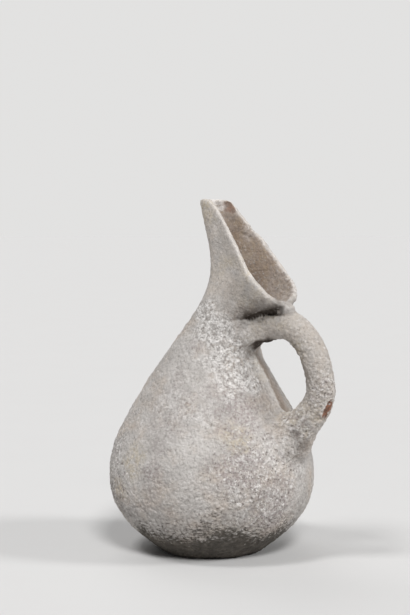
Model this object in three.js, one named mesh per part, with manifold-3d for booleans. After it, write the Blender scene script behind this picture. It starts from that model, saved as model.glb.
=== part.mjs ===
// Beak-spouted clay jug, hand built from separately formed clay parts that are luted together with slip.
// Millimetres, +Z up. The beak rises on the -X side and the handle stands on the +X side, in the XZ plane.
// The origin is the centre of the flat foot.

import * as THREE from "three";
import { mergeVertices } from "three/addons/utils/BufferGeometryUtils.js";
import Module from "manifold-3d";

// Driving dimensions: body
const FOOT_RADIUS = 31.5; // flat face that the jug stands on
const FOOT_FLARE = 20; // how far the foot's edge runs out straight before the bowl turns up
const FOOT_FLARE_ANGLE = 38.5; // degrees of that edge above the ground
const BELLY_RADIUS = 64.4; // widest point
const BELLY_HEIGHT = 47.5;
const BELLY_DROP = 24; // fullness of the bowl below the widest point
const BELLY_RISE = 18; // fullness of the wall above the widest point
const CONE_RADIUS = 50.9; // where the belly's curve runs into the straight cone
const CONE_HEIGHT = 89;
const CONE_ANGLE = 30.2; // degrees between the cone's side and the axis
const CONE_LEAD = 16; // fullness of the curve just below the cone
const BODY_WALL = 6.5;
const FLOOR_THICKNESS = 8; // base disc
const BASE_SEAM_HEIGHT = 4; // joint between base disc and bowl, on the outside
const BELLY_SEAM_HEIGHT = 58; // joint between bowl and shoulder, on the outside
const NECK_SEAM_HEIGHT = 118; // joint between shoulder and neck, on the outside
const SCARF_RISE = 4; // how much higher a joint is on the inside than on the outside

// Driving dimensions: neck and beak
const TIP_HEIGHT = 220; // flat top of the beak
const TIP_FRONT = -7.2; // X of the beak's front
const TIP_BACK = 6.6; // X where the flat top turns into the sloping mouth
const TIP_HALF_WIDTH = 12;
const LIP_HEIGHT = 156; // lowest point of the mouth, above the handle
const LIP_REACH = 54.5; // X of that point
const MOUTH_WIDE_X = 43; // X of the widest part of the mouth
const MOUTH_HALF_WIDTH = 23.3;
const MOUTH_BOW = 2.4; // how far the sloping mouth bows up from a straight line
const RIM_WALL = 3.4;
const WAIST_FRONT_X = 11.5; // guide oval that draws the neck in above the seam: its end on the beak's side
const WAIST_FRONT_RISE = 0.575; // its height there, as a share of the rise from seam to beak
const WAIST_REAR_X = 21; // its end on the handle's side
const WAIST_REAR_RISE = 0.59; // its height there, as a share of the rise from seam to lip
const WAIST_HALF_WIDTH = 12.5;
const WAIST_WALL = 5.5; // how much smaller the guide oval of the inner face is all round
const FRONT_DROP = 0.49; // share of the beak's rise from the seam over which the wall keeps the rim's lean
const FRONT_FLARE = 0.243; // that lean, as run over rise
const FRONT_SQUEEZE = 1.05; // width below the rim, as a share of the rim's
const REAR_DROP = 0.18; // the same three at the lip above the handle
const REAR_FLARE = 2;
const REAR_SQUEEZE = 0.82;
const LIP_GATHER = 10; // how closely the lip's flare is gathered round the handle

// Driving dimensions: handle
const HANDLE_DIAMETER = 17.4;
const HANDLE_FOOT_DIAMETER = 22.5; // the rod thickens to this where it meets the body
const HANDLE_ROOT_HEIGHT = 140; // rod's centre on the neck's outer face
const HANDLE_ROOT_ANGLE = 14; // degrees of the rod above the horizontal where it leaves the neck
const HANDLE_CREST_X = 53; // rod's centre at its highest point
const HANDLE_CREST_HEIGHT = 144.6;
const HANDLE_REACH = 78.1; // rod's centre at its furthest from the axis
const HANDLE_REACH_HEIGHT = 108;
const HANDLE_FOOT_HEIGHT = 77; // rod's centre on the body's outer face
const HANDLE_FOOT_ANGLE = 44; // degrees of the rod above the horizontal where it meets the body
const HANDLE_ROUND = 0.52; // fullness of the bend from crest to furthest point
const HANDLE_TURN = 0.42; // fullness of the bends next to neck and body
const TENON_DIAMETER = 12; // peg on the rod's lower end, pushed through the body's wall
const TENON_STUB = 3; // length of the peg that shows inside
const FOOT_COLLAR_SPREAD = 5; // clay smeared out over the body round the rod
const FOOT_COLLAR_LENGTH = 10; // and up the rod
const ROOT_COLLAR_SPREAD = 5; // the same two at the neck
const ROOT_COLLAR_LENGTH = 8;
const COLLAR_EDGE = 1.4; // thickness of a collar's upper edge

// Fit and fineness
const JOINT_GAP = 0.3; // slip between luted parts
const AROUND_BODY = 48;
const AROUND_NECK = 48;
const AROUND_ROD = 20;
const RINGS_ON_NECK = 15;
const RINGS_ON_ROD = 30;
const POINTS_ON_CURVE = 9;

const wasm = await Module();
wasm.setup();

// Solids

/** A closed geometry as a solid that can be cut and joined. */
function toSolid(geometry) {
  const bare = geometry.clone();
  bare.deleteAttribute("normal");
  bare.deleteAttribute("uv");
  const merged = mergeVertices(bare);
  const mesh = new wasm.Mesh({
    numProp: 3,
    vertProperties: merged.attributes.position.array,
    triVerts: new Uint32Array(merged.index.array),
  });
  return new wasm.Manifold(mesh);
}

/** A solid's triangles as a geometry with flat faces. */
function toGeometry(solid) {
  const { vertProperties, triVerts } = solid.getMesh();
  const geometry = new THREE.BufferGeometry();
  geometry.setAttribute("position", new THREE.BufferAttribute(vertProperties, 3));
  geometry.setIndex(new THREE.BufferAttribute(triVerts, 1));
  const flat = geometry.toNonIndexed();
  flat.computeVertexNormals();
  return flat;
}

/** Revolves a closed outline of (radius, height) points about the Z axis. */
function revolve(outline) {
  return new THREE.LatheGeometry([...outline, outline[0]], AROUND_BODY).rotateX(Math.PI / 2);
}

/** Joins rings of equal length into a surface, closed from last ring to first or by end caps. */
function skin(rings, { ringShaped }) {
  const around = rings[0].length;
  const points = rings.flat();
  const index = [];
  const joined = ringShaped ? rings.length : rings.length - 1;
  for (let r = 0; r < joined; r++) {
    const low = r * around;
    const high = ((r + 1) % rings.length) * around;
    for (let i = 0; i < around; i++) {
      const next = (i + 1) % around;
      index.push(low + i, low + next, high + next, low + i, high + next, high + i);
    }
  }
  if (!ringShaped) {
    const last = (rings.length - 1) * around;
    const bottom = points.push(middleOf(rings[0])) - 1;
    const top = points.push(middleOf(rings.at(-1))) - 1;
    for (let i = 0; i < around; i++) {
      const next = (i + 1) % around;
      index.push(bottom, next, i, top, last + i, last + next);
    }
  }
  return new THREE.BufferGeometry().setFromPoints(points).setIndex(index);
}

/** The mean of some points. */
function middleOf(points) {
  return points.reduce((sum, p) => sum.add(p), new THREE.Vector3()).divideScalar(points.length);
}

// Body profile

const radians = THREE.MathUtils.degToRad;
const polar = (length, angle) => new THREE.Vector2(Math.cos(angle), Math.sin(angle)).multiplyScalar(length);
const coneDirection = polar(1, Math.PI / 2 + radians(CONE_ANGLE));

/** The body's outer side from foot to neck seam, as (radius, height) points set out by a thickness. */
function bodyProfile(setOut) {
  const foot = new THREE.Vector2(FOOT_RADIUS, 0);
  const belly = new THREE.Vector2(BELLY_RADIUS, BELLY_HEIGHT);
  const cone = new THREE.Vector2(CONE_RADIUS, CONE_HEIGHT);
  const coneLength = (NECK_SEAM_HEIGHT + SCARF_RISE - CONE_HEIGHT + BODY_WALL) / coneDirection.y;
  const bowl = new THREE.CubicBezierCurve(
    foot,
    foot.clone().add(polar(FOOT_FLARE, radians(FOOT_FLARE_ANGLE))),
    belly.clone().sub(new THREE.Vector2(0, BELLY_DROP)),
    belly,
  );
  const shoulder = new THREE.CubicBezierCurve(
    belly,
    belly.clone().add(new THREE.Vector2(0, BELLY_RISE)),
    cone.clone().addScaledVector(coneDirection, -CONE_LEAD),
    cone,
  );
  const side = new THREE.LineCurve(cone, cone.clone().addScaledVector(coneDirection, coneLength));
  return [bowl, shoulder, side].flatMap((curve, n) => {
    const steps = curve.isLineCurve ? 4 : POINTS_ON_CURVE;
    const first = n === 0 ? 0 : 1;
    return Array.from({ length: steps + 1 - first }, (_, i) => {
      const t = (i + first) / steps;
      const along = curve.getTangent(t);
      return curve.getPoint(t).add(new THREE.Vector2(along.y, -along.x).multiplyScalar(setOut));
    });
  });
}

const outside = bodyProfile(0);
const inside = bodyProfile(-BODY_WALL);

/** The point of a profile at a height. */
function atHeight(profile, height) {
  const next = profile.findIndex((p) => p.y > height);
  const [low, high] = [profile[next - 1], profile[next]];
  return low.clone().lerp(high, (height - low.y) / (high.y - low.y));
}

/** The stretch of a profile between two heights. */
function between(profile, low, high) {
  const inner = profile.filter((p) => p.y > low && p.y < high);
  return [atHeight(profile, low), ...inner, atHeight(profile, high)];
}

/** A band of the body's wall between two scarfed seams, given by their heights on the outside. */
function wallBand(lowSeam, highSeam, lowRise) {
  const outer = between(outside, lowSeam + JOINT_GAP, highSeam);
  const inner = between(inside, lowSeam + lowRise + JOINT_GAP, highSeam + SCARF_RISE);
  return revolve([...outer, ...inner.reverse()]);
}

/** Flat disc with the first of the bowl's curve on its edge. */
function baseDisc() {
  const edge = between(outside, 0, BASE_SEAM_HEIGHT);
  const floorEdge = atHeight(inside, FLOOR_THICKNESS);
  const axis = [new THREE.Vector2(0, FLOOR_THICKNESS), new THREE.Vector2(0, 0)];
  return revolve([...edge, floorEdge, ...axis]);
}

/** Everything within the body's outer face, set out by a clearance. */
function bodyCore(clearance) {
  const side = bodyProfile(clearance);
  const axis = [new THREE.Vector2(0, side.at(-1).y), new THREE.Vector2(0, side[0].y)];
  return toSolid(revolve([...side, ...axis]));
}

// Neck and beak

/** Height of the mouth's edge over a point X: flat over the beak, then sloping down to the lip. */
function mouthHeight(x) {
  const t = THREE.MathUtils.clamp((x - TIP_BACK) / (LIP_REACH - TIP_BACK), 0, 1);
  return THREE.MathUtils.lerp(TIP_HEIGHT, LIP_HEIGHT, t) + 4 * MOUTH_BOW * t * (1 - t);
}

/** Half of the mouth's outline from above, from lip to beak round one side, drawn in by an inset. */
function mouthOutline(inset) {
  const slope = Math.atan2(TIP_HEIGHT - LIP_HEIGHT, LIP_REACH - TIP_BACK);
  const reach = LIP_REACH - inset * Math.cos(slope);
  const wide = new THREE.Vector2(MOUTH_WIDE_X, MOUTH_HALF_WIDTH - inset);
  const tip = new THREE.Vector2(TIP_BACK, TIP_HALF_WIDTH - inset);
  const front = TIP_FRONT + inset;
  const turn = (wide.x - tip.x) / 4;
  const outline = new THREE.CurvePath();
  outline.add(new THREE.EllipseCurve(wide.x, 0, reach - wide.x, wide.y, 0, Math.PI / 2));
  outline.add(
    new THREE.CubicBezierCurve(
      wide,
      new THREE.Vector2(wide.x - turn, wide.y),
      new THREE.Vector2(tip.x + turn, tip.y),
      tip,
    ),
  );
  outline.add(new THREE.EllipseCurve(tip.x, 0, tip.x - front, tip.y, Math.PI / 2, Math.PI));
  return outline;
}

/** Rings of the neck's wall from seam to mouth, for a body profile and insets at waist and rim. */
function neckRings(profile, seamHeight, waistInset, rimInset) {
  const seam = atHeight(profile, seamHeight);
  const outline = mouthOutline(rimInset);
  const strands = Array.from({ length: AROUND_NECK }, (_, i) => {
    const turn = i / AROUND_NECK;
    const side = turn > 0.5 ? -1 : 1;
    const share = 2 * Math.min(turn, 1 - turn);
    return neckStrand(seam, outline, waistInset, share, side);
  });
  return Array.from({ length: RINGS_ON_NECK + 1 }, (_, r) =>
    strands.map((strand) => strand.getPoint(r / RINGS_ON_NECK)),
  );
}

/** One line of the neck's wall, led from the seam's circle by the waist's oval and the brim below the rim. */
function neckStrand(seam, outline, waistInset, share, side) {
  const angle = share * Math.PI;
  const toFront = (1 - Math.cos(angle)) / 2;
  const blend = (rear, front) => THREE.MathUtils.lerp(rear, front, toFront);
  const rearRise = LIP_HEIGHT - NECK_SEAM_HEIGHT;
  const frontRise = TIP_HEIGHT - NECK_SEAM_HEIGHT;
  const rim = outline.getPointAt(share);
  const drop = blend(REAR_DROP * rearRise, FRONT_DROP * frontRise);
  const flare = REAR_FLARE * (1 - toFront) ** LIP_GATHER - FRONT_FLARE * toFront;
  const low = new THREE.Vector3(seam.x * Math.cos(angle), side * seam.x * Math.sin(angle), seam.y);
  const waist = new THREE.Vector3(
    blend(WAIST_REAR_X - waistInset, WAIST_FRONT_X + waistInset),
    side * (WAIST_HALF_WIDTH - waistInset) * Math.sin(angle),
    NECK_SEAM_HEIGHT + blend(WAIST_REAR_RISE * rearRise, WAIST_FRONT_RISE * frontRise),
  );
  const high = new THREE.Vector3(rim.x, side * rim.y, mouthHeight(rim.x));
  const brim = new THREE.Vector3(
    high.x - flare * drop,
    high.y * blend(REAR_SQUEEZE, FRONT_SQUEEZE),
    high.z - drop,
  );
  return new THREE.CubicBezierCurve3(low, waist, brim, high);
}

/** Open shell of the neck, from the scarfed seam to the sloping mouth. */
function neckAndBeak() {
  const outer = neckRings(outside, NECK_SEAM_HEIGHT + JOINT_GAP, 0, 0);
  const inner = neckRings(inside, NECK_SEAM_HEIGHT + SCARF_RISE + JOINT_GAP, WAIST_WALL, RIM_WALL);
  return skin([...outer, ...inner.reverse()], { ringShaped: true });
}

/** Everything within the neck's outer face, set out by a clearance. */
function neckCore(clearance) {
  const rings = neckRings(bodyProfile(clearance), NECK_SEAM_HEIGHT, -clearance, -clearance);
  return toSolid(skin(rings, { ringShaped: false }));
}

// Handle

const rearLine = neckRings(outside, NECK_SEAM_HEIGHT, 0, 0).map((ring) => ring[0]);
const rearFace = rearLine.map((point) => new THREE.Vector2(point.x, point.z));
const handlePath = makeHandlePath();
const handleLength = handlePath.getLength();

/** The rod's centre line from the neck's outer face over the crest and down to the body's outer face. */
function makeHandlePath() {
  const root = new THREE.Vector3(atHeight(rearFace, HANDLE_ROOT_HEIGHT).x, 0, HANDLE_ROOT_HEIGHT);
  const crest = new THREE.Vector3(HANDLE_CREST_X, 0, HANDLE_CREST_HEIGHT);
  const reach = new THREE.Vector3(HANDLE_REACH, 0, HANDLE_REACH_HEIGHT);
  const foot = new THREE.Vector3(atHeight(outside, HANDLE_FOOT_HEIGHT).x, 0, HANDLE_FOOT_HEIGHT);
  const rise = crest.x - root.x;
  const out = reach.x - crest.x;
  const drop = crest.z - reach.z;
  const fall = reach.z - foot.z;
  const fromNeck = polar(HANDLE_TURN * rise, radians(HANDLE_ROOT_ANGLE));
  const fromBody = polar(HANDLE_TURN * fall, radians(HANDLE_FOOT_ANGLE));
  const path = new THREE.CurvePath();
  const leg = (...points) => path.add(new THREE.CubicBezierCurve3(...points));
  leg(root, shifted(root, fromNeck.x, fromNeck.y), shifted(crest, -HANDLE_TURN * rise, 0), crest);
  leg(crest, shifted(crest, HANDLE_ROUND * out, 0), shifted(reach, 0, HANDLE_ROUND * drop), reach);
  leg(reach, shifted(reach, 0, -HANDLE_TURN * fall), shifted(foot, fromBody.x, fromBody.y), foot);
  return path;
}

/** A point moved in the XZ plane. */
function shifted(point, x, z) {
  return point.clone().add(new THREE.Vector3(x, 0, z));
}

/** Place and direction on the rod's centre line at a distance from the neck, run on past both ends. */
function station(distance) {
  const onPath = THREE.MathUtils.clamp(distance, 0, handleLength);
  const along = handlePath.getTangentAt(onPath / handleLength);
  const centre = handlePath.getPointAt(onPath / handleLength).addScaledVector(along, distance - onPath);
  return { centre, along };
}

/** Radius of the rod at a distance from the neck: even, then spreading towards the body. */
function rodRadius(distance) {
  const nearFoot = THREE.MathUtils.clamp(1 - (handleLength - distance) / (2 * HANDLE_DIAMETER), 0, 1);
  return THREE.MathUtils.lerp(HANDLE_DIAMETER, HANDLE_FOOT_DIAMETER, nearFoot ** 2) / 2;
}

/** A round solid threaded on the rod's centre line through the given distances from the neck. */
function threaded(distances, radiusAt) {
  const sideways = new THREE.Vector3(0, 1, 0);
  const rings = distances.map((distance) => {
    const { centre, along } = station(distance);
    const across = along.clone().cross(sideways);
    const radius = radiusAt(distance);
    return Array.from({ length: AROUND_ROD }, (_, i) => {
      const point = polar(radius, (2 * Math.PI * i) / AROUND_ROD);
      return centre.clone().addScaledVector(sideways, point.x).addScaledVector(across, point.y);
    });
  });
  return toSolid(skin(rings, { ringShaped: false }));
}

/** Evenly spaced numbers from one end to the other. */
function spaced(from, to, steps) {
  return Array.from({ length: steps + 1 }, (_, i) => THREE.MathUtils.lerp(from, to, i / steps));
}

/** The rod, run on into neck and body by its own thickness, set out by a clearance. */
function rod(clearance) {
  const distances = [
    -HANDLE_DIAMETER,
    ...spaced(0, handleLength, RINGS_ON_ROD),
    handleLength + HANDLE_DIAMETER,
  ];
  return threaded(distances, (distance) => rodRadius(distance) + clearance);
}

/** The straight peg on the rod's lower end, or the hole for it. */
function tenon(reach, clearance) {
  const distances = [handleLength - HANDLE_DIAMETER / 2, handleLength, handleLength + reach];
  return threaded(distances, () => TENON_DIAMETER / 2 + clearance);
}

/** The ring of clay smeared round the rod where it meets a wall. */
function lutingCollar(distances, spread, length, distanceFromWall) {
  const sleeve = threaded(distances, (distance) => {
    const near = THREE.MathUtils.clamp(1 - distanceFromWall(distance) / length, 0, 1);
    return rodRadius(distance) + THREE.MathUtils.lerp(COLLAR_EDGE, spread, near ** 2);
  });
  return toGeometry(sleeve.subtract(rod(JOINT_GAP)).subtract(walls));
}

/** Collar at the rod's foot on the body. */
function footCollar() {
  const end = handleLength + HANDLE_DIAMETER;
  const distances = [...spaced(handleLength - FOOT_COLLAR_LENGTH, handleLength, 5), end];
  const fromWall = (distance) => handleLength - distance;
  return lutingCollar(distances, FOOT_COLLAR_SPREAD, FOOT_COLLAR_LENGTH, fromWall);
}

/** Collar at the rod's root on the neck. */
function rootCollar() {
  const distances = [-HANDLE_DIAMETER, ...spaced(0, ROOT_COLLAR_LENGTH, 5)];
  const fromWall = (distance) => distance;
  return lutingCollar(distances, ROOT_COLLAR_SPREAD, ROOT_COLLAR_LENGTH, fromWall);
}

/** A wall with the hole for the handle's peg. */
function pierced(wall) {
  return toGeometry(toSolid(wall).subtract(tenon(HANDLE_DIAMETER, JOINT_GAP)));
}

// Parts

const walls = bodyCore(JOINT_GAP).add(neckCore(JOINT_GAP));
const bowl = wallBand(BASE_SEAM_HEIGHT, BELLY_SEAM_HEIGHT, FLOOR_THICKNESS - BASE_SEAM_HEIGHT);
const shoulder = wallBand(BELLY_SEAM_HEIGHT, NECK_SEAM_HEIGHT, SCARF_RISE);
const peg = tenon(BODY_WALL + TENON_STUB, 0);

const jug = new THREE.Group();
jug.name = "beaked_jug";

/** Adds one named part of fired clay. */
function addPart(name, geometry, colour) {
  const material = new THREE.MeshStandardMaterial({ color: colour, roughness: 0.95, metalness: 0 });
  material.name = name;
  const mesh = new THREE.Mesh(geometry, material);
  mesh.name = name;
  jug.add(mesh);
}

addPart("base_disc", baseDisc(), 0x8d8377);
addPart("lower_body", pierced(bowl), 0xa59c8e);
addPart("upper_body", pierced(shoulder), 0xaea698);
addPart("neck_and_beak", neckAndBeak(), 0xb4ac9f);
addPart("handle", toGeometry(rod(0).subtract(walls).add(peg)), 0xa89f92);
addPart("lower_luting_collar", footCollar(), 0xa39a8d);
addPart("upper_luting_collar", rootCollar(), 0xa39a8d);

export default jug;
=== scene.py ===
"""Looks of the beak-spouted clay jug: one weathered clay surface, parted at the joints of the CAD model."""

import itertools
import math

import bmesh
import bpy
import numpy as np
from mathutils import Matrix, Vector
from mathutils.kdtree import KDTree


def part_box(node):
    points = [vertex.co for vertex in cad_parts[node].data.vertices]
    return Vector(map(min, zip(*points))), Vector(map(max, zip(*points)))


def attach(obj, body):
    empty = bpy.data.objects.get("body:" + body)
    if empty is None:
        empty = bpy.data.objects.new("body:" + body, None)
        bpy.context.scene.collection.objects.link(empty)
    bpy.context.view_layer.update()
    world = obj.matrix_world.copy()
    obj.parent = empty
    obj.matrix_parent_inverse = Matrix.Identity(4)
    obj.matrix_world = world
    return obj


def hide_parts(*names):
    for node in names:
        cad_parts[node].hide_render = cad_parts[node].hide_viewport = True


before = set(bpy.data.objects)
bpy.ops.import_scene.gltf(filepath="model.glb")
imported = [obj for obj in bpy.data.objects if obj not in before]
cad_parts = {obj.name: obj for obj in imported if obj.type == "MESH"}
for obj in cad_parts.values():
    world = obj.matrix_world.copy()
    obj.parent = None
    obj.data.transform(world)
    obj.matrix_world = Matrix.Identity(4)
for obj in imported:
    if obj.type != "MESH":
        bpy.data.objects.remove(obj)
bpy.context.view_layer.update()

MM = 0.001

# Camera, fitted to the photograph
PHOTO_HEIGHT = 615
VIEW_AZIMUTH = math.radians(33)
VIEW_DISTANCE = 1.0
EYE_HEIGHT = 0.2309
VIEW_PITCH = math.radians(4.443)
VIEW_YAW = math.radians(0.241)
FOCAL_PIXELS = 1595
SENSOR = 36

# Clay surface, in millimetres
VOXEL = 0.9
SWELL = 0.25
WELD = 0.01

# Sizes of the CAD model that the surface follows, in millimetres
TIP_HEIGHT = 220
TIP_BACK = 6.6
LIP_HEIGHT = 156
LIP_UNDERSIDE = LIP_HEIGHT - 4
LIP_REACH = 54.5
MOUTH_BOW = 2.4
HANDLE_START = 40

# Middle of the neck: height and X, in millimetres
NECK_MIDDLE = ((110, 0), (136, 5), (148, 14), (156, 22), (166, 23.5), (184, 18), (196, 12.7), (220, 1))

# Scarfed seam above each round node: outer height and radius, inner height and radius, in millimetres
SEAMS = {
    "base_disc": (4.15, 36.7, 8.15, 32.4),
    "lower_body": (58.15, 63.4, 62.15, 55.8),
    "upper_body": (118.15, 34.0, 122.15, 24.4),
}

# Nodes that are parted by a swollen copy of their own solid
LUTED_NODES = ("handle", "lower_luting_collar", "upper_luting_collar")

# Solids that part the surface: lengths in millimetres, then rise over run, and steps round the axis
CUTTER_SWELL = 1.3
CUTTER_REACH = 120
CUTTER_FLOOR = -30
CUTTER_LEDGE = 3
CUTTER_BORE = 0.01
CUTTER_STEEPNESS = 0.35
CUTTER_STEPS = 96

# What hands and wear did to the shape, in millimetres
LIP_SMEAR = (54.5, 0, 152.0)
LIP_SMEAR_SIZE = (5.6, 6.5, 5.0)
CREVICE_LINE = ((36, 13, 148.0), (45.5, 9, 150.6), (48.2, 8, 151.2))
CREVICE_DEPTH = 2.5
ROOT_CORNER = (37, 0, 127.5)
ROOT_CORNER_DEPTH = 3.4
LIP_PULL = 1.8
HANDLE_PULL = 1.4
NECK_PULL = 1.3
SWAY = 0.4
DENT = 0.34
SMALL_DENT = 0.2

# Rounds of smoothing, the share of the way that a point moves in a round, and a ridge's part of that
STEP_ROUNDS = 7
BODY_ROUNDS = 40
JOINT_ROUNDS = 40
FOOT_ROUNDS = 50
SOFT_SHARE = 0.5
RIDGE_SHARE = 0.25

# Rounds of filling between two looks at the directions, and reach of the luted joints in millimetres
FACING_ROUNDS = 5
JOINT_REACH = 7

# Rounds of averaging that show wide hollows and fine grains
WIDE_ROUNDS = 45
FINE_ROUNDS = 4

# Stretch of heights, which makes the creases and the soil's grains flat
CREASE_STRETCH = (1, 1, 1.7)
SOIL_STRETCH = (1, 1, 1.8)

# Strip under the handle where shade is painted, and underside of the handle's root, in millimetres, and the
# rise across the jug of the soil and its painted shade
STRIP_MIDDLE = 107
STRIP_HALF_LENGTH = 27
ROOT_UNDERSIDE = (40, 0, 131)
SOIL_SLOPE = 0.12

# Flakes broken off: centre, outward direction, lengthwise direction, reach, depth, share of red clay
CHIPS = (
    ((83.6, -1.0, 93.3), (0.91, -0.2, -0.35), (-0.35, 0, -0.94), 4.4, 1.0, 1),
    ((12.6, 9.9, 211.3), (0.2, -0.95, 0.25), (0.81, 0.16, -0.57), 6.0, 0.7, 0.5),
)
CHIP_LENGTHENING = 2.2

# Shares of a place's reach: where its mark ends and where it is full
PLACE_END = 1.15
PLACE_CORE = 0.3

# Places on the clay, each a centre and a reach in millimetres
CRUST_PLACES = (((15, -22, 140), 20), ((28, -20, 122), 24), ((7, -19, 152), 13), ((39, -12, 109), 12))
LIME_PLACES = (((-1, 5, 217), 8), ((-4, -2, 219), 6))
LIP_LIME_PLACES = (((46, 9, 160), 13), ((50, -4, 157), 8))
OCHRE_PLACES = (((43, -38, 78), 12), ((-18, -60, 62), 12), ((-31, -56, 43), 9), ((0, -10, 217), 14),
                ((66, -7, 129), 9))
MAUVE_PLACES = (((47, -42, 61), 20), ((37, -26, 96), 25), ((5, -25, 131), 7),
                ((56, -22, 36), 20), ((-2, -62, 58), 12))
PALE_PLACES = (((53, -25, 70), 13), ((14, -56, 74), 24), ((-8, -48, 88), 18))
PITTED_PLACES = (((67, -7, 131), 9), ((60, -8, 78), 18), ((80, -3, 98), 22), ((45, 19, 168), 15),
                 ((22, 13, 203), 9), ((0, 5, 217), 7))
COARSE_PLACES = (((-46, -43, 50), 40), ((56, -30, 52), 36), ((66, -8, 86), 16), ((82, 0, 104), 20))
STAIN_PLACES = (((63, -5, 127), 8), ((69, -4, 114), 9))
# Painted shade: a faint dark band at the neck's waist, under the overhanging lip
NECK_SHADE_PLACES = (((27, -17, 162), 13), ((34, -18, 158), 11), ((43, -20, 163), 11))
# Painted shade: dark patches in the hollow by the handle's foot and under the lip
SHADE_PLACES = (((69, -5, 72), 8), ((66, -9, 80), 5), ((46, -17.5, 158.5), 8))

# Numbers that scramble a cell's place and a seed
CELL_FACTORS = (73856093, 19349663, 83492791)
SEED_FACTOR = 40503
SCRAMBLE_FACTOR = 1274126177
SCRAMBLE_TOP = 0xFFFFFF

# Noise in the clay


def lattice(cell, seed):
    """A fixed number from 0 to 1 for each cell of a grid."""
    mixed = np.bitwise_xor.reduce(cell * np.array(CELL_FACTORS), axis=1) ^ seed * SEED_FACTOR
    mixed = (mixed ^ (mixed >> 13)) * SCRAMBLE_FACTOR
    return ((mixed ^ (mixed >> 16)) & SCRAMBLE_TOP) / SCRAMBLE_TOP


def cloud(points, size, seed):
    """Smooth noise from -1 to 1 with lumps of about the given size."""
    scaled = points / size
    cell = np.floor(scaled).astype(np.int64)
    part = scaled - cell
    blend = part * part * (3 - 2 * part)
    total = np.zeros(len(points))
    for corner in itertools.product((0, 1), repeat=3):
        weight = np.prod(np.where(corner, blend, 1 - blend), axis=1)
        total += weight * lattice(cell + np.array(corner), seed)
    return 2 * total - 1


def scatter(points, size, seed):
    """Distance in spacings to the nearest of many scattered spots, and a number from 0 to 1 for it."""
    scaled = points / size
    cell = np.floor(scaled).astype(np.int64)
    nearest = np.full(len(points), np.inf)
    kind = np.zeros(len(points))
    for step in itertools.product((-1, 0, 1), repeat=3):
        other = cell + np.array(step)
        spot = other + np.stack([lattice(other, seed + axis) for axis in range(3)], axis=1)
        gap = np.linalg.norm(scaled - spot, axis=1)
        closer = gap < nearest
        nearest = np.where(closer, gap, nearest)
        kind = np.where(closer, lattice(other, seed + 7), kind)
    return nearest, kind


def ease(value, low, high):
    """0 below low, 1 above high and smooth between them; low may be the larger."""
    share = np.clip((value - low) / (high - low), 0, 1)
    return share * share * (3 - 2 * share)


# The clay surface as arrays


class Skin:
    """The jug's surface as arrays, in millimetres."""

    def __init__(self, mesh):
        self.mesh = mesh
        count = len(mesh.vertices)
        flat = np.empty(count * 3)
        mesh.vertices.foreach_get("co", flat)
        self.points = flat.reshape(-1, 3) / MM
        ends = np.empty(len(mesh.edges) * 2, dtype=np.int32)
        mesh.edges.foreach_get("vertices", ends)
        first, second = ends.reshape(-1, 2).T
        self.here = np.concatenate([first, second])
        self.there = np.concatenate([second, first])
        self.links = np.maximum(np.bincount(self.here, minlength=count), 1)

    def store(self):
        """Writes the points back to the mesh."""
        self.mesh.vertices.foreach_set("co", (self.points * MM).ravel())
        self.mesh.update()

    def normals(self):
        """Outward direction at each point."""
        self.store()
        flat = np.empty(len(self.points) * 3)
        self.mesh.vertex_normals.foreach_get("vector", flat)
        return flat.reshape(-1, 3)

    def average(self, values):
        """Mean of the neighbours' values at each point."""
        columns = values.reshape(len(values), -1).T
        sums = [np.bincount(self.here, column[self.there], len(values)) for column in columns]
        return (np.stack(sums, axis=1) / self.links[:, None]).reshape(values.shape)

    def relax(self, rounds, share):
        """Moves each point towards its neighbours by its share of the way."""
        for _ in range(rounds):
            self.points += (self.average(self.points) - self.points) * share[:, None]

    def fill(self, rounds, share):
        """Fills hollows and mostly leaves ridges, so that joints get a soft fillet."""
        for turn in range(rounds):
            if turn % FACING_ROUNDS == 0:
                facing = self.normals()
            pull = self.average(self.points) - self.points
            outward = (pull * facing).sum(axis=1)
            self.points += pull * np.where(outward > 0, share, share * RIDGE_SHARE)[:, None]

    def push(self, distance):
        """Moves each point outwards by a distance."""
        self.points += self.normals() * distance[:, None]

    def bulge(self, rounds):
        """How far each point stands out from its surroundings, negative in hollows."""
        smooth = self.points
        for _ in range(rounds):
            smooth = self.average(smooth)
        return ((self.points - smooth) * self.normals()).sum(axis=1)


def swollen(node, amount):
    """A copy of a CAD solid with shared corners, swollen by an amount in millimetres."""
    shell = bmesh.new()
    shell.from_mesh(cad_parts[node].data)
    bmesh.ops.remove_doubles(shell, verts=shell.verts[:], dist=WELD * MM)
    bmesh.ops.triangulate(shell, faces=shell.faces[:])
    shell.normal_update()
    places = [vert.co + vert.normal * amount * MM for vert in shell.verts]
    for vert, place in zip(shell.verts, places):
        vert.co = place
    mesh = bpy.data.meshes.new(node + "_copy")
    shell.to_mesh(mesh)
    shell.free()
    return mesh


def evaluated(mesh, kind, **settings):
    """A mesh after one modifier."""
    holder = bpy.data.objects.new("holder", mesh)
    bpy.context.collection.objects.link(holder)
    modifier = holder.modifiers.new("change", kind)
    for name, value in settings.items():
        setattr(modifier, name, value)
    shown = holder.evaluated_get(bpy.context.evaluated_depsgraph_get())
    result = bpy.data.meshes.new_from_object(shown)
    bpy.data.objects.remove(holder)
    return result


def raw_clay():
    """All CAD solids and the smear below the lip, melted into one closed surface."""
    together = bmesh.new()
    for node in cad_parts:
        copy = swollen(node, SWELL)
        together.from_mesh(copy)
        bpy.data.meshes.remove(copy)
    smear = Matrix.LocRotScale(Vector(LIP_SMEAR) * MM, None, Vector(LIP_SMEAR_SIZE) * MM)
    bmesh.ops.create_icosphere(together, subdivisions=3, radius=1, matrix=smear)
    mesh = bpy.data.meshes.new("together")
    together.to_mesh(mesh)
    together.free()
    return Skin(evaluated(mesh, "REMESH", mode="VOXEL", voxel_size=VOXEL * MM))


# Where things are on the jug


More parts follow.
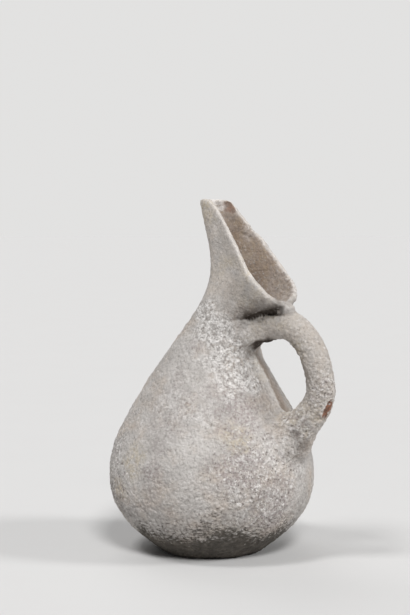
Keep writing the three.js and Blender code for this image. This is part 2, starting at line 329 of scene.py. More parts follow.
def patches(points, places, seed):
    """1 at the given places, falling to 0 at their reach, with ragged edges."""
    ragged = 0.3 * cloud(points, 9, seed) + 0.2 * cloud(points, 4, seed + 1)
    total = np.zeros(len(points))
    for centre, reach in places:
        away = np.linalg.norm(points - np.array(centre), axis=1) / reach
        total = np.maximum(total, ease(away + ragged, PLACE_END, PLACE_CORE))
    return total


def strays(points, large, small, seed, low, high):
    """1 in stray patches all over the jug, made from large and small lumps of noise."""
    return ease(0.7 * cloud(points, large, seed) + 0.3 * cloud(points, small, seed + 1), low, high)


def near_box(points, node, reach):
    """1 within a CAD node's box, falling to 0 at a distance from it."""
    low, high = (np.array(corner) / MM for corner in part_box(node))
    away = np.maximum(np.maximum(low - points, points - high), 0)
    return ease(np.linalg.norm(away, axis=1), reach, 0)


def mouth_height(x):
    """Height of the mouth's edge over a point X."""
    share = np.clip((x - TIP_BACK) / (LIP_REACH - TIP_BACK), 0, 1)
    return TIP_HEIGHT + (LIP_HEIGHT - TIP_HEIGHT) * share + 4 * MOUTH_BOW * share * (1 - share)


def towards_camera(points):
    """How far each point lies from the jug's axis towards the camera, in millimetres."""
    return points[:, 0] * math.sin(VIEW_AZIMUTH) - points[:, 1] * math.cos(VIEW_AZIMUTH)


def towards_left(points):
    """How far each point lies from the jug's axis towards the picture's left, in millimetres."""
    return -points[:, 0] * math.cos(VIEW_AZIMUTH) - points[:, 1] * math.sin(VIEW_AZIMUTH)


def rim(points):
    """1 on the mouth's edge, falling to 0 a few millimetres below it."""
    drop = mouth_height(points[:, 0]) - points[:, 2]
    on_neck = (points[:, 2] > LIP_UNDERSIDE) & (points[:, 0] < LIP_REACH + 3)
    return ease(drop, 4.5, 0.5) * on_neck


def inside(points, normals):
    """1 on the faces that look into the jug's hollow."""
    heights, middles = zip(*NECK_MIDDLE)
    middle = np.interp(points[:, 2], heights, middles)
    inward = (middle - points[:, 0]) * normals[:, 0] - points[:, 1] * normals[:, 1]
    reach = np.hypot(middle - points[:, 0], points[:, 1])
    outside_neck = (points[:, 2] < LIP_UNDERSIDE) & (points[:, 0] > HANDLE_START)
    on_handle = (near_box(points, "handle", 1) > 0) & outside_neck
    return ease(inward / np.maximum(reach, 1), -0.1, 0.3) * ~on_handle


def beak_side(points):
    """1 on the beak, which is smoother than the body, falling to 0 below the lip's height."""
    height = points[:, 2] + 4 * cloud(points, 12, 81)
    return ease(height, 150, 166)


def under_handle(points):
    """1 on the strip of the body under the handle where shade is painted, with ragged edges that fade on
    the far side.
    """
    along = (points[:, 2] - STRIP_MIDDLE) / STRIP_HALF_LENGTH + 0.2 * cloud(points, 11, 82)
    across = points[:, 1] + 1.3 * cloud(points, 7, 83) + 0.6 * cloud(points, 3, 88)
    far_side = ease(across + 5 * cloud(points, 9, 87) + 6 * along ** 2, 20, 6)
    on_body = (points[:, 0] > 22) & (points[:, 0] < 58)
    return ease(across, 2.8, 5.6) * far_side * ease(np.abs(along), 1.05, 0.6) * on_body


def under_lip(points, normals):
    """1 on the lip's underside, above the handle's root, where shade is painted."""
    downward = ease(-normals[:, 2], 0.25, 0.75)
    height = points[:, 2] + 1.5 * cloud(points, 5, 84)
    return downward * ease(height, 141, 145) * ease(height, 158, 152) * ease(points[:, 0], 27, 35)


def under_root(points, normals):
    """1 on the underside of the handle's root, where shade is painted."""
    downward = ease(-normals[:, 2], 0.3, 0.65)
    away = np.linalg.norm(points - np.array(ROOT_UNDERSIDE), axis=1) + 1.5 * cloud(points, 4, 86)
    return downward * ease(away, 13, 7) * ease(np.abs(points[:, 1]), 9.5, 6.5)


def from_crevice(points, above, below):
    """Distance from the crevice between the lip and the handle's root, scaled above and below it."""
    folded = points * np.where(points[:, 1:2] < 0, (1, -1, 1), (1, 1, 1))
    nearest = np.full(len(points), np.inf)
    for start, end in zip(CREVICE_LINE, CREVICE_LINE[1:]):
        start = np.array(start)
        run = np.array(end) - start
        share = np.clip((folded - start) @ run / (run @ run), 0, 1)
        offset = folded - start - share[:, None] * run
        scale = np.where(offset[:, 2] > 0, above, below)
        nearest = np.minimum(nearest, np.linalg.norm(offset, axis=1) * scale)
    return nearest


def crust(points, inner, unseen):
    """1 where lime crust is thickest on the outside, with more stray crust on the unseen side."""
    patch = 0.6 * cloud(points, 24, 73) + 0.4 * cloud(points, 9, 74) + 0.12 * unseen
    stray_crust = (0.45 + 0.3 * unseen) * ease(patch, 0.25, 0.6)
    stray_crust *= ease(points[:, 2], 40, 70) * ease(points[:, 2], 150, 140)
    return np.maximum(patches(points, CRUST_PLACES, 101), stray_crust) * (1 - inner)


def soil_and_shade(points, height):
    """1 at the foot, falling to 0 above it, higher towards the camera and lower at the picture's left; this
    is real soil with painted shade at the foot.
    """
    level = height - SOIL_SLOPE * np.maximum(towards_camera(points), -15)
    level += SOIL_SLOPE * np.maximum(towards_left(points) - 10, 0)
    return ease(level, 35, -4)


def held(points):
    """1 on the part of the handle that hands have held."""
    return ease(points[:, 0], 50, 64) * ease(points[:, 2], 88, 104) * ease(points[:, 2], 156, 150)


def dirt_and_shade(points, normals, inner):
    """1 where the dark marks are thickest: dirt and painted shade in the crevice, painted shade under the
    lip and the root, in a band at the neck's waist and in patches by the handle's foot and under the lip.
    """
    crevice = ease(from_crevice(points, 0.27, 2.0) + 0.5 * cloud(points, 3, 85), 4.6, 0.6)
    neck_shade = 0.24 * patches(points, NECK_SHADE_PLACES, 123)
    at_lip = np.maximum(0.45 * under_lip(points, normals), neck_shade)
    at_lip = np.maximum(at_lip, crevice) * (1 - inner)
    elsewhere = np.maximum(under_root(points, normals), 0.5 * patches(points, SHADE_PLACES, 119))
    return np.maximum(at_lip, elsewhere)


def first_marks(skin):
    """Where the surface is crusted, soiled, pitted or stained, and where shade is painted on it."""
    points = skin.points
    normals = skin.normals()
    inner = inside(points, normals)
    height = points[:, 2] + 5 * cloud(points, 17, 71) + 2.5 * cloud(points, 6, 72)
    unseen = ease(towards_camera(points), 5, -25)
    tip_lime = 0.65 * patches(points, LIME_PLACES, 103)
    lip_lime = 0.22 * patches(points, LIP_LIME_PLACES, 117)
    stray_ochre = (0.6 + 0.2 * unseen) * strays(points, 30, 8, 75, 0.25, 0.6)
    stray_mauve = (0.5 + 0.3 * unseen) * strays(points, 34, 9, 77, 0.15, 0.55)
    stray_coarse = 0.8 * unseen * strays(points, 38, 10, 91, 0.0, 0.4)
    stray_coarse *= ease(points[:, 2], 120, 95)
    return {
        "inside": inner,
        "crust": crust(points, inner, unseen),
        "lime": np.maximum(tip_lime, lip_lime),
        "coarse": np.maximum(stray_coarse, patches(points, COARSE_PLACES, 113)),
        "soil_and_shade": soil_and_shade(points, height),
        "pitted": np.maximum(0.8 * ease(height, 66, 18), patches(points, PITTED_PLACES, 105)),
        "ochre": np.maximum(stray_ochre, patches(points, OCHRE_PLACES, 107)),
        "mauve": np.maximum(stray_mauve, patches(points, MAUVE_PLACES, 111)),
        "pale": patches(points, PALE_PLACES, 115),
        "smooth": beak_side(points),
        # Painted shade on the strip under the handle, with real stains on the handle
        "shade_and_stain": np.maximum(under_handle(points), 0.45 * patches(points, STAIN_PLACES, 121)),
        "held": held(points),
        "dirt_and_shade": dirt_and_shade(points, normals, inner),
        "chip": np.zeros(len(points)),
    }


# Shaping the clay


def soften(skin):
    """Takes off the voxels' steps and the CAD facets, and runs the luted joints together."""
    skin.relax(STEP_ROUNDS, np.full(len(skin.points), SOFT_SHARE))
    height = skin.points[:, 2]
    root = near_box(skin.points, "upper_luting_collar", JOINT_REACH) * ease(height, 147, 141)
    foot = near_box(skin.points, "lower_luting_collar", JOINT_REACH)
    joints = np.maximum(root, foot)
    body = ease(height, 128, 112) * (1 - joints)
    skin.relax(BODY_ROUNDS, SOFT_SHARE * body)
    skin.fill(JOINT_ROUNDS, SOFT_SHARE * joints)
    skin.fill(FOOT_ROUNDS, SOFT_SHARE * foot)


def open_crevice(skin):
    """A deep crevice between the lip and the handle's root."""
    away = from_crevice(skin.points, 1, 1.8)
    skin.push(-CREVICE_DEPTH * ease(away, 5, 0.5))


def open_root(skin):
    """A sharper corner between the body and the underside of the handle's root."""
    offset = skin.points - np.array(ROOT_CORNER)
    away = np.hypot(offset[:, 0], offset[:, 2])
    downward = ease(skin.normals() @ np.array((0.7, 0, -0.7)), 0.1, 0.6)
    near_middle = ease(np.abs(offset[:, 1]), 14, 8)
    skin.push(-ROOT_CORNER_DEPTH * ease(away, 9, 2) * near_middle * downward)


def draw_out(skin):
    """Pulls the lip and the handle's lower half outwards and draws the neck in, as hands have done."""
    x, _, z = skin.points.T
    lip = ease(x, 38, 52) * ease(z, 153, 157) * ease(z, 186, 168)
    handle = ease(x, 66, 74) * ease(z, 122, 104)
    neck = ease(x, 12, -6) * ease(z, 106, 122) * ease(z, 172, 160)
    skin.points[:, 0] += LIP_PULL * lip + HANDLE_PULL * handle + NECK_PULL * neck


def knead(skin):
    """The uneven shape that hands leave in the clay."""
    sway = np.stack([cloud(skin.points, 46, seed) for seed in (11, 12, 13)], axis=1)
    skin.points += SWAY * sway * ease(skin.points[:, 2], 0, 12)[:, None]
    skin.push(DENT * cloud(skin.points, 21, 14) + SMALL_DENT * cloud(skin.points, 9, 15))


def wear_rim(skin):
    """Nicks and worn places along the mouth's edge, and a fuller tip."""
    edge = rim(skin.points)
    wave = cloud(skin.points, 11, 51)
    small_wave = cloud(skin.points, 4, 53)
    gap, kind = scatter(skin.points, 9, 52)
    nick = ease(gap, 0.42, 0.1) * (kind < 0.45)
    tip = ease(skin.points[:, 0], 16, 4)
    skin.points[:, 2] -= edge * (1 - tip) * (0.4 * wave + 0.4 * small_wave + nick - 0.6)
    skin.points[:, 2] += edge * tip * (1.2 + 0.3 * wave + 0.3 * small_wave)


def shaded_hollows(skin, marks):
    """Painted shade in the wide hollows of the outside, away from the crevice."""
    deep = ease(skin.bulge(WIDE_ROUNDS), -0.5, -1.8) * (1 - marks["inside"])
    deep *= ease(from_crevice(skin.points, 1, 1), 6, 11)
    marks["dirt_and_shade"] = np.maximum(marks["dirt_and_shade"], 0.5 * deep)


def roughen(skin, marks):
    """Grains, crust, creases and pits in the surface."""
    points = skin.points
    inner = marks["inside"]
    pitted = marks["pitted"]
    rough = 1 - 0.6 * inner - 0.5 * marks["smooth"] * (1 - inner)
    rough = np.maximum(rough, pitted)
    lump, _ = scatter(points, 2.4, 26)
    lumpy = 0.5 + 0.35 * marks["coarse"]
    grain = 0.24 * cloud(points, 4.6, 21) + 0.26 * cloud(points, 1.5, 22) - lumpy * (lump - 0.5)
    lumps = marks["crust"] * (0.25 + 0.35 * cloud(points, 3.0, 23) + 0.25 * cloud(points, 1.7, 24))
    stretched = points * np.array(CREASE_STRETCH)
    crease = ease(np.abs(cloud(stretched, 3.6, 25)), 0.22, 0.0) * (0.15 + 0.85 * pitted)
    gap, kind = scatter(points, 4.6, 31)
    pit = ease(gap, 0.32, 0.1) * (kind < 0.08 + 0.3 * pitted)
    fine_gap, fine_kind = scatter(points, 2.6, 41)
    fine_share = 0.08 + 0.2 * marks["crust"] + 0.25 * pitted
    fine_pit = ease(fine_gap, 0.4, 0.12) * (fine_kind < fine_share)
    marks["pit"] = np.clip(0.8 * pit + 0.6 * fine_pit + 0.7 * crease, 0, 1) * rough
    skin.push((grain - 0.5 * crease - 0.4 * pit - 0.3 * fine_pit) * rough + lumps)


def spall(skin, marks, centre, outward, along, reach, depth, share):
    """A flake broken off, longest along one direction, which shows the red clay beneath."""
    outward = np.array(outward) / np.linalg.norm(outward)
    along = np.array(along) / np.linalg.norm(along)
    offset = skin.points - np.array(centre)
    lengthwise = offset @ along
    crosswise = np.linalg.norm(offset - lengthwise[:, None] * along, axis=1)
    away = np.hypot(crosswise, lengthwise / CHIP_LENGTHENING)
    close = ease(away + 0.2 * reach * cloud(skin.points, 3, 61), reach, reach * 0.75)
    height = offset @ outward
    top = height[away < 0.5 * reach].max()
    drop = height - top + depth + 0.15 * cloud(skin.points, 2.4, 62)
    cut_away = np.clip(drop, 0, 2 * depth) * close
    skin.points -= cut_away[:, None] * outward
    marks["chip"] = np.maximum(marks["chip"], share * close * ease(cut_away, 0.05, 0.3))


def shaped_clay():
    """The finished surface and its marks."""
    skin = raw_clay()
    for step in (soften, open_crevice, open_root, draw_out, knead, wear_rim):
        step(skin)
    marks = first_marks(skin)
    shaded_hollows(skin, marks)
    roughen(skin, marks)
    for chip in CHIPS:
        spall(skin, marks, *chip)
    skin.points[:, 2] = np.maximum(skin.points[:, 2], 0)
    fine = skin.bulge(FINE_ROUNDS)
    marks["edge"] = ease(fine, 0.06, 0.45)
    # Small hollows get painted shade in the colour and hold more soil
    marks["hollow"] = ease(fine, -0.06, -0.45)
    skin.store()
    return skin, marks


# Parting the surface at the joints


def lathe_cutter(seam):
    """Everything below a scarfed seam, as a solid of revolution about the jug's axis."""
    out_height, out_radius, in_height, in_radius = seam
    outline = (
        (CUTTER_REACH, CUTTER_FLOOR),
        (CUTTER_REACH, out_height),
        (out_radius + CUTTER_LEDGE, out_height),
        (out_radius, out_height),
        (in_radius, in_height),
        (CUTTER_BORE, in_height + CUTTER_STEEPNESS * in_radius),
        (CUTTER_BORE, CUTTER_FLOOR),
    )
    cutter = bmesh.new()
    turns = [2 * math.pi * k / CUTTER_STEPS for k in range(CUTTER_STEPS)]
    rings = []
    for radius, height in outline:
        ring = [(radius * math.cos(turn), radius * math.sin(turn), height) for turn in turns]
        rings.append([cutter.verts.new(Vector(place) * MM) for place in ring])
    for low, high in zip(rings, rings[1:] + rings[:1]):
        for k in range(CUTTER_STEPS):
            cutter.faces.new((low[k], low[k - 1], high[k - 1], high[k]))
    bmesh.ops.recalc_face_normals(cutter, faces=cutter.faces[:])
    bmesh.ops.triangulate(cutter, faces=cutter.faces[:])
    mesh = bpy.data.meshes.new("lathe_cutter")
    cutter.to_mesh(mesh)
    cutter.free()
    return mesh


def cut(mesh, cutter, operation):
    """A mesh with a solid taken from it, or only what lies in that solid."""
    tool = bpy.data.objects.new("cutter", cutter)
    bpy.context.collection.objects.link(tool)
    result = evaluated(mesh, "BOOLEAN", object=tool, operation=operation, solver="MANIFOLD")
    bpy.data.objects.remove(tool)
    return result


def drop_twins(mesh):
    """Takes out the pairs of faces back to back that a cut can leave at a seam."""
    shell = bmesh.new()
    shell.from_mesh(mesh)
    known = {}
    twins = []
    for face in shell.faces:
        corners = frozenset(vert.index for vert in face.verts)
        if corners in known:
            twins += [known[corners], face]
        known[corners] = face
    bmesh.ops.delete(shell, geom=twins, context="FACES")
    shell.to_mesh(mesh)
    shell.free()


def parted(skin):
    """The surface as one closed mesh for each CAD node."""
    cutters = {node: swollen(node, CUTTER_SWELL) for node in LUTED_NODES}
    cutters.update((node, lathe_cutter(seam)) for node, seam in SEAMS.items())
    rest = skin.mesh
    meshes = {}
    for node, cutter in cutters.items():
        meshes[node] = cut(rest, cutter, "INTERSECT")
        rest = cut(rest, cutter, "DIFFERENCE")
    meshes["neck_and_beak"] = rest
    for mesh in meshes.values():
        drop_twins(mesh)
    return meshes


def carry_over(skin, marks, meshes):
    """Gives each parted mesh the whole surface's marks and smooth shading, so that no joint shows."""
    normals = skin.normals()
    tree = KDTree(len(skin.points))
    for index, point in enumerate(skin.points * MM):
        tree.insert(point, index)
    tree.balance()
    for mesh in meshes.values():
        nearest = np.array([tree.find(vert.co)[1] for vert in mesh.vertices])
        for name, values in marks.items():
            layer = mesh.attributes.new(name, "FLOAT", "POINT")
            layer.data.foreach_set("value", values[nearest].astype(np.float32))
        mesh.polygons.foreach_set("use_smooth", np.ones(len(mesh.polygons), dtype=bool))
        mesh.normals_split_custom_set_from_vertices(normals[nearest])
        mesh.update()


# Materials

CLAY_GREY = (0.425, 0.401, 0.381, 1)
CLAY_PALE = (0.525, 0.497, 0.474, 1)
CLAY_WARM = (0.508, 0.446, 0.394, 1)
BEAK_CLAY = (0.55, 0.50, 0.455, 1)
HANDLE_CLAY = (0.352, 0.314, 0.276, 1)
LIME = (0.78, 0.755, 0.735, 1)
OCHRE = (0.54, 0.46, 0.33, 1)
MAUVE = (0.32, 0.272, 0.265, 1)
# The soil colours also stand for painted shade at the foot
DARK_SOIL_AND_SHADE = (0.065, 0.057, 0.047, 1)
PALE_SOIL_AND_SHADE = (0.13, 0.115, 0.095, 1)
SPECK = (0.15, 0.13, 0.115, 1)
INNER_BROWN = (0.255, 0.192, 0.146, 1)
INNER_PALE = (0.345, 0.29, 0.252, 1)
INNER_OCHRE = (0.345, 0.26, 0.165, 1)
# Brown for painted shade on the strip under the handle, and for stains on the handle
SHADE_AND_STAIN_BROWN = (0.19, 0.148, 0.115, 1)
# Dark brown for dirt and painted shade in the crevice, and for painted shade under the lip and root and in
# hollows
DIRT_AND_SHADE_BROWN = (0.05, 0.038, 0.03, 1)
RED_CLAY = (0.255, 0.125, 0.082, 1)
BURNT_CLAY = (0.14, 0.083, 0.063, 1)

# Finish of the clay, with the grain's height in millimetres
LEAST_ROUGHNESS = 0.82
MOST_ROUGHNESS = 1.0
CLAY_SHINE = 0.2
GRAIN_HEIGHT = 0.9


class Graph:
    """A material's node tree, with short calls for the nodes that the clay needs."""

    def __init__(self, name):
        self.material = bpy.data.materials.new(name)
        self.material.use_nodes = True
        self.tree = self.material.node_tree
        self.shader = self.tree.nodes["Principled BSDF"]
        self.place = self.tree.nodes.new("ShaderNodeTexCoord").outputs["Object"]

    def link(self, value, socket):
        """Joins a socket to an input, or sets the input to a plain value."""
        if isinstance(value, bpy.types.NodeSocket):
            self.tree.links.new(value, socket)
        else:
            socket.default_value = value

    def mark(self, name):
        """One of the surface's marks."""
        node = self.tree.nodes.new("ShaderNodeAttribute")
        node.attribute_name = name
        return node.outputs["Fac"]

    def stretched_place(self):
        """The place with its height stretched, which makes the lumps of noise flat."""
        node = self.tree.nodes.new("ShaderNodeMapping")
        self.tree.links.new(self.place, node.inputs["Vector"])
        node.inputs["Scale"].default_value = SOIL_STRETCH
        return node.outputs["Vector"]

    def noise(self, size, detail=3.0, roughness=0.55, shift=0.0, flat=False):
        """Cloudy noise from 0 to 1 with lumps of a size in millimetres, flattened ones if asked."""
        place = self.stretched_place() if flat else self.place
        node = self.tree.nodes.new("ShaderNodeTexNoise")
        node.noise_dimensions = "4D"
        self.tree.links.new(place, node.inputs["Vector"])
        node.inputs["W"].default_value = shift
        node.inputs["Scale"].default_value = 1 / (size * MM)
        node.inputs["Detail"].default_value = detail
        node.inputs["Roughness"].default_value = roughness
        return node.outputs["Fac"]

    def spots(self, size):
        """Distance to the nearest of scattered spots, a size in millimetres apart."""
        node = self.tree.nodes.new("ShaderNodeTexVoronoi")
        self.tree.links.new(self.place, node.inputs["Vector"])
        node.inputs["Scale"].default_value = 1 / (size * MM)
        return node.outputs["Distance"]

    def ramp(self, value, low, high):
        """0 at low, 1 at high and smooth between them."""
        node = self.tree.nodes.new("ShaderNodeMapRange")
        node.interpolation_type = "SMOOTHSTEP"
        self.link(value, node.inputs["Value"])
        node.inputs["From Min"].default_value = low
        node.inputs["From Max"].default_value = high
        return node.outputs["Result"]

    def combine(self, operation, first, second):
        """Two numbers joined by an operation."""
        node = self.tree.nodes.new("ShaderNodeMath")
        node.operation = operation
        self.link(first, node.inputs[0])
        self.link(second, node.inputs[1])
        return node.outputs[0]

    def times(self, first, second):
        """The product of two numbers."""
        return self.combine("MULTIPLY", first, second)

    def mix(self, share, first, second):
        """The second colour laid over the first by a share."""
        node = self.tree.nodes.new("ShaderNodeMix")
        node.data_type = "RGBA"
        self.link(share, node.inputs["Factor"])
        self.link(first, node.inputs["A"])
        self.link(second, node.inputs["B"])
        return node.outputs["Result"]

    def cover(self, colour, layer, mark, *shares):
        """A layer laid over a colour by the product of a mark and some shares."""
        amount = self.mark(mark)
        for share in shares:
            amount = self.times(amount, share)
        return self.mix(amount, colour, layer)


def grained(graph, colour, dark_share, light_share):
    """Dark and light grains about a millimetre across."""
    dark = graph.ramp(graph.noise(1.5, 3, 0.65, 5.3), 0.53, 0.68)
    colour = graph.mix(graph.times(dark, dark_share), colour, SPECK)
    light = graph.ramp(graph.noise(1.7, 3, 0.65, 7.7), 0.53, 0.68)
    return graph.mix(graph.times(light, light_share), colour, LIME)


def bare_clay(graph):
    """Pale fired clay, mottled at two scales."""
    colour = graph.mix(graph.ramp(graph.noise(24, 4, 0.6), 0.36, 0.64), CLAY_GREY, CLAY_PALE)
    return graph.mix(graph.ramp(graph.noise(14, 3, 0.5, 3.1), 0.44, 0.74), colour, CLAY_WARM)


def specked(graph, colour):
    """Dark and light grains, larger and stronger where the clay is coarse."""
    coarse = graph.times(graph.mark("coarse"), 0.52)
    dark = graph.ramp(graph.noise(3.2, 3, 0.6, 1.1), 0.5, 0.62)
    colour = graph.mix(graph.times(dark, coarse), colour, MAUVE)
    light = graph.ramp(graph.noise(2.8, 3, 0.6, 2.7), 0.52, 0.64)
    colour = graph.mix(graph.times(light, coarse), colour, LIME)
    return grained(graph, colour, graph.combine("ADD", coarse, 0.42), graph.combine("ADD", coarse, 0.38))


def warmed(graph, colour):
    """The handle's warmer clay, browner where hands have held it."""
    share = graph.ramp(graph.noise(6, 4, 0.65, 1.4), 0.3, 0.7)
    colour = graph.mix(graph.times(share, 0.55), colour, CLAY_WARM)
    return graph.cover(colour, HANDLE_CLAY, "held", 0.35)


def stained(graph, colour):
    """Faint pale, ochre and mauve patches, broken up into grains."""
    broken = graph.ramp(graph.noise(2.6, 5, 0.75, 2.2), 0.38, 0.6)
    other = graph.ramp(graph.noise(2.2, 5, 0.75, 6.8), 0.38, 0.6)
    grain = graph.ramp(graph.noise(1.6, 3, 0.65, 8.8), 0.5, 0.64)
    colour = graph.cover(colour, LIME, "pale", broken, 0.2)
    colour = graph.cover(colour, OCHRE, "ochre", broken, 0.6)
    colour = graph.cover(colour, MAUVE, "mauve", other, 0.75)
    return graph.cover(colour, SPECK, "mauve", grain, 0.5)


def beaked(graph, colour):
    """Warmer clay on the beak's outer side."""
    tone = graph.mix(graph.ramp(graph.noise(7, 4, 0.6, 4.9), 0.4, 0.7), BEAK_CLAY, CLAY_GREY)
    return graph.cover(colour, tone, "smooth", 0.75)


def crusted(graph, colour):
    """White lime crust, broken up by dark specks of two sizes."""
    broken = graph.ramp(graph.noise(2.6, 5, 0.75, 4.4), 0.41, 0.56)
    speck = graph.ramp(graph.noise(1.8, 4, 0.7, 9.1), 0.48, 0.63)
    fine = graph.ramp(graph.noise(1.0, 2, 0.6, 5.9), 0.52, 0.62)
    colour = graph.cover(colour, LIME, "crust", broken)
    colour = graph.cover(colour, SPECK, "crust", speck, 0.6)
    return graph.cover(colour, SPECK, "crust", fine, 0.5)


def limed(graph, colour):
    """White lime inside the beak's tip and on the lip."""
    broken = graph.ramp(graph.noise(2.6, 4, 0.7, 6.1), 0.36, 0.52)
    return graph.cover(colour, LIME, "lime", broken)


def soiled_and_shaded(graph, colour):
    """Dark soil and painted shade round the foot, in grains that stand closer towards the ground."""
    grain = graph.times(graph.noise(1.9, 4, 0.7, 6.6, flat=True), 2.3)
    patch = graph.noise(8, 3, 0.55, 4.2)
    relief = graph.combine("SUBTRACT", graph.mark("hollow"), graph.mark("edge"))
    height = graph.times(graph.mark("soil_and_shade"), 1.4)
    level = graph.combine("ADD", graph.combine("ADD", height, grain), graph.times(relief, 0.35))
    covered = graph.ramp(graph.combine("ADD", level, patch), 1.95, 2.6)
    tone = graph.mix(graph.ramp(graph.noise(5, 4, 0.65, 9.4), 0.45, 0.7), DARK_SOIL_AND_SHADE, PALE_SOIL_AND_SHADE)
    return graph.mix(graph.times(covered, 0.92), colour, tone)


def browned(graph, colour):
    """Smoother brown clay inside the jug."""
    tone = graph.mix(graph.ramp(graph.noise(11, 4, 0.6, 8.2), 0.38, 0.66), INNER_BROWN, INNER_PALE)
    yellow = graph.ramp(graph.noise(4, 4, 0.65, 6.4), 0.45, 0.65)
    tone = graph.mix(graph.times(yellow, 0.4), tone, INNER_OCHRE)
    tone = grained(graph, tone, 0.6, 0.25)
    return graph.cover(colour, tone, "inside", 0.9)


def shaded_and_stained(graph, colour):
    """Painted shade in brown on the strip under the handle, and brown stains on the handle."""
    tone = graph.mix(graph.ramp(graph.noise(4, 4, 0.6, 2.9), 0.42, 0.85), SHADE_AND_STAIN_BROWN, INNER_PALE)
    return graph.cover(colour, tone, "shade_and_stain", 0.9)


def chipped(graph, colour):
    """Red clay where a flake has broken off."""
    tone = graph.mix(graph.ramp(graph.noise(3, 3, 0.6, 1.2), 0.4, 0.6), BURNT_CLAY, RED_CLAY)
    return graph.cover(colour, tone, "chip")


def weathered_and_shaded(graph, colour):
    """Dark pits, painted shade in small hollows, and pale worn grains."""
    dark = graph.combine("MAXIMUM", graph.mark("pit"), graph.mark("hollow"))
    colour = graph.mix(graph.times(dark, 0.5), colour, SPECK)
    return graph.cover(colour, LIME, "edge", 0.4)


def dirtied_and_shaded(graph, colour):
    """Brown dirt and painted shade in crevices and hollows, and painted shade under the lip and the
    handle's root.
    """
    broken = graph.ramp(graph.noise(2.2, 4, 0.65, 3.3), 0.15, 0.5)
    return graph.cover(colour, DIRT_AND_SHADE_BROWN, "dirt_and_shade", broken)


def matt_roughness(graph):
    """A matt finish that varies a little from place to place."""
    rough = graph.tree.nodes.new("ShaderNodeMapRange")
    graph.link(graph.noise(4, 3, 0.6, 1.9), rough.inputs["Value"])
    rough.inputs["To Min"].default_value = LEAST_ROUGHNESS
    rough.inputs["To Max"].default_value = MOST_ROUGHNESS
    return rough.outputs["Result"]


def fine_grain(graph):
    """A fine grain that is weaker inside the jug and on the beak, and stronger where the clay is coarse."""
    bump = graph.tree.nodes.new("ShaderNodeBump")
    calm_inside = graph.times(graph.mark("inside"), 0.6)
    calm_beak = graph.times(graph.mark("smooth"), 0.4)
    calm = graph.combine("MAXIMUM", calm_inside, calm_beak)
    graph.link(graph.combine("SUBTRACT", 1.0, calm), bump.inputs["Strength"])
    bump.inputs["Distance"].default_value = GRAIN_HEIGHT * MM
    pores = graph.times(graph.spots(1.9), 0.6)
    height = graph.combine("SUBTRACT", graph.noise(1.3, 4, 0.65, 3.7), pores)
    coarse = graph.times(graph.noise(1.9, 3, 0.6, 7.1), graph.times(graph.mark("coarse"), 1.4))
    graph.link(graph.combine("ADD", height, coarse), bump.inputs["Height"])
    return bump.outputs["Normal"]


def clay(name, *layers):
    """A clay material: bare clay under the given layers, with a matt and grainy finish."""
    graph = Graph(name)
    colour = bare_clay(graph)
    for layer in layers:
        colour = layer(graph, colour)
    inputs = graph.shader.inputs
    graph.link(colour, inputs["Base Color"])
    graph.link(matt_roughness(graph), inputs["Roughness"])
    graph.link(fine_grain(graph), inputs["Normal"])
    inputs["Specular IOR Level"].default_value = CLAY_SHINE
    return graph.material


def clays():
    """The material of each piece."""
    return {
        "base_disc": clay(
            "base_clay", stained, specked, weathered_and_shaded, soiled_and_shaded),
        "lower_body": clay(
            "bowl_clay", stained, specked, crusted, browned, weathered_and_shaded, soiled_and_shaded, dirtied_and_shaded),
        "upper_body": clay(
            "shoulder_clay", stained, specked, crusted, shaded_and_stained, browned, weathered_and_shaded, dirtied_and_shaded),
        "neck_and_beak": clay(
            "neck_clay", beaked, stained, specked, crusted, shaded_and_stained, browned, limed, weathered_and_shaded, chipped,
            dirtied_and_shaded),
        "handle": clay(
            "handle_clay", warmed, stained, specked, crusted, shaded_and_stained, weathered_and_shaded, chipped, dirtied_and_shaded),
        "lower_luting_collar": clay(
            "lower_collar_clay", warmed, stained, specked, crusted, weathered_and_shaded, dirtied_and_shaded),
        "upper_luting_collar": clay(
            "upper_collar_clay", warmed, stained, specked, crusted, shaded_and_stained, weathered_and_shaded, dirtied_and_shaded),
    }


# Making the pieces


def make_jug():
    """One clay piece for each CAD node."""
    skin, marks = shaped_clay()
    meshes = parted(skin)
    carry_over(skin, marks, meshes)
    materials = clays()
    for node, mesh in meshes.items():
        piece = bpy.data.objects.new(node + "_clay", mesh)
        bpy.context.collection.objects.link(piece)
        mesh.materials.clear()
        mesh.materials.append(materials[node])
        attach(piece, "root")
        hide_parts(node)


# Studio

FLOOR_COLOUR = (0.62, 0.616, 0.611, 1)
FLOOR_SHADE = (0.607, 0.602, 0.598, 1)
FLOOR_RADIUS = 6
FLOOR_SIDES = 96
BACKGROUND = (0.762, 0.758, 0.751, 1)
WHITE = (1, 1, 1, 1)
WORLD_LEVEL = 0.15

# Lamps: degrees from the camera towards the picture's left, degrees up, level, degrees of softness
LAMPS = {
    "key": (-12, 43, 0.62, 14),
    "left": (55, 62, 0.34, 14),
    "right": (-75, 30, 0.42, 14),
    "back": (160, 42, 0.24, 45),
}


def make_floor():
    """A wide pale floor."""
    sheet = bmesh.new()
    bmesh.ops.create_circle(sheet, cap_ends=True, segments=FLOOR_SIDES, radius=FLOOR_RADIUS)
    mesh = bpy.data.meshes.new("floor")
    sheet.to_mesh(mesh)
    sheet.free()
    floor = bpy.data.objects.new("floor", mesh)
    bpy.context.collection.objects.link(floor)
    graph = Graph("floor_paper")
    graph.link(graph.mix(graph.noise(60, 3), FLOOR_COLOUR, FLOOR_SHADE), graph.shader.inputs["Base Color"])
    graph.shader.inputs["Roughness"].default_value = 1.0
    graph.shader.inputs["Specular IOR Level"].default_value = 0.0
    mesh.materials.append(graph.material)


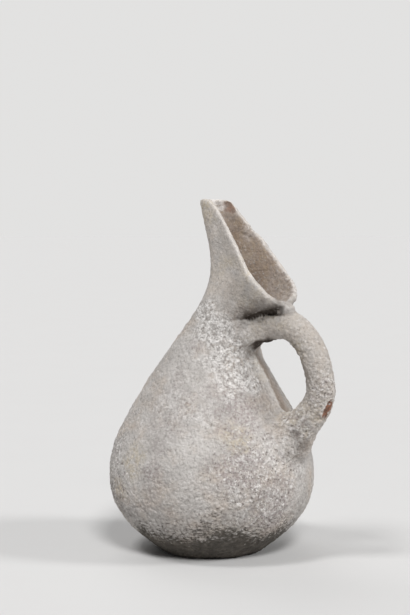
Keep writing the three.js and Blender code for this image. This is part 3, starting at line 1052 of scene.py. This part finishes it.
def make_world():
    """A pale background where the camera or a reflection sees it, and a weak even light."""
    world = bpy.data.worlds.new("studio")
    bpy.context.scene.world = world
    world.use_nodes = True
    nodes = world.node_tree.nodes
    links = world.node_tree.links
    seen = nodes.new("ShaderNodeBackground")
    seen.inputs["Color"].default_value = BACKGROUND
    light = nodes["Background"]
    light.inputs["Color"].default_value = WHITE
    light.inputs["Strength"].default_value = WORLD_LEVEL
    path = nodes.new("ShaderNodeLightPath")
    shown = path.outputs["Is Camera Ray"]
    for ray in ("Is Glossy Ray", "Is Transmission Ray"):
        either = nodes.new("ShaderNodeMath")
        either.operation = "MAXIMUM"
        links.new(shown, either.inputs[0])
        links.new(path.outputs[ray], either.inputs[1])
        shown = either.outputs[0]
    mixed = nodes.new("ShaderNodeMixShader")
    links.new(shown, mixed.inputs["Fac"])
    links.new(light.outputs["Background"], mixed.inputs[1])
    links.new(seen.outputs["Background"], mixed.inputs[2])
    links.new(mixed.outputs["Shader"], nodes["World Output"].inputs["Surface"])


def make_lamp(name, from_left, height, level, softness):
    """A soft far lamp; a level of 1 shows a face that is turned to it at its own colour."""
    data = bpy.data.lights.new(name, "SUN")
    data.angle = math.radians(softness)
    data.energy = level * math.pi
    lamp = bpy.data.objects.new(name, data)
    bpy.context.collection.objects.link(lamp)
    turn = VIEW_AZIMUTH - math.radians(from_left)
    rise = math.radians(height)
    source = Vector((math.cos(rise) * math.sin(turn), -math.cos(rise) * math.cos(turn), math.sin(rise)))
    lamp.rotation_euler = source.to_track_quat("Z", "Y").to_euler()


def make_camera():
    """The camera at the photograph's viewing angle."""
    data = bpy.data.cameras.new("camera")
    data.sensor_fit = "VERTICAL"
    data.sensor_height = SENSOR
    data.lens = FOCAL_PIXELS * SENSOR / PHOTO_HEIGHT
    camera = bpy.data.objects.new("camera", data)
    bpy.context.collection.objects.link(camera)
    away = Vector((math.sin(VIEW_AZIMUTH), -math.cos(VIEW_AZIMUTH), 0)) * VIEW_DISTANCE
    turn = Matrix.Rotation(VIEW_AZIMUTH + VIEW_YAW, 4, "Z")
    tilt = Matrix.Rotation(math.pi / 2 - VIEW_PITCH, 4, "X")
    camera.matrix_world = Matrix.Translation(away + Vector((0, 0, EYE_HEIGHT))) @ turn @ tilt
    bpy.context.scene.camera = camera


def make_studio():
    """Floor, background, lamps and camera."""
    make_floor()
    make_world()
    for name, lamp in LAMPS.items():
        make_lamp(name, *lamp)
    make_camera()
    bpy.context.scene.view_settings.view_transform = "Standard"


make_jug()
make_studio()
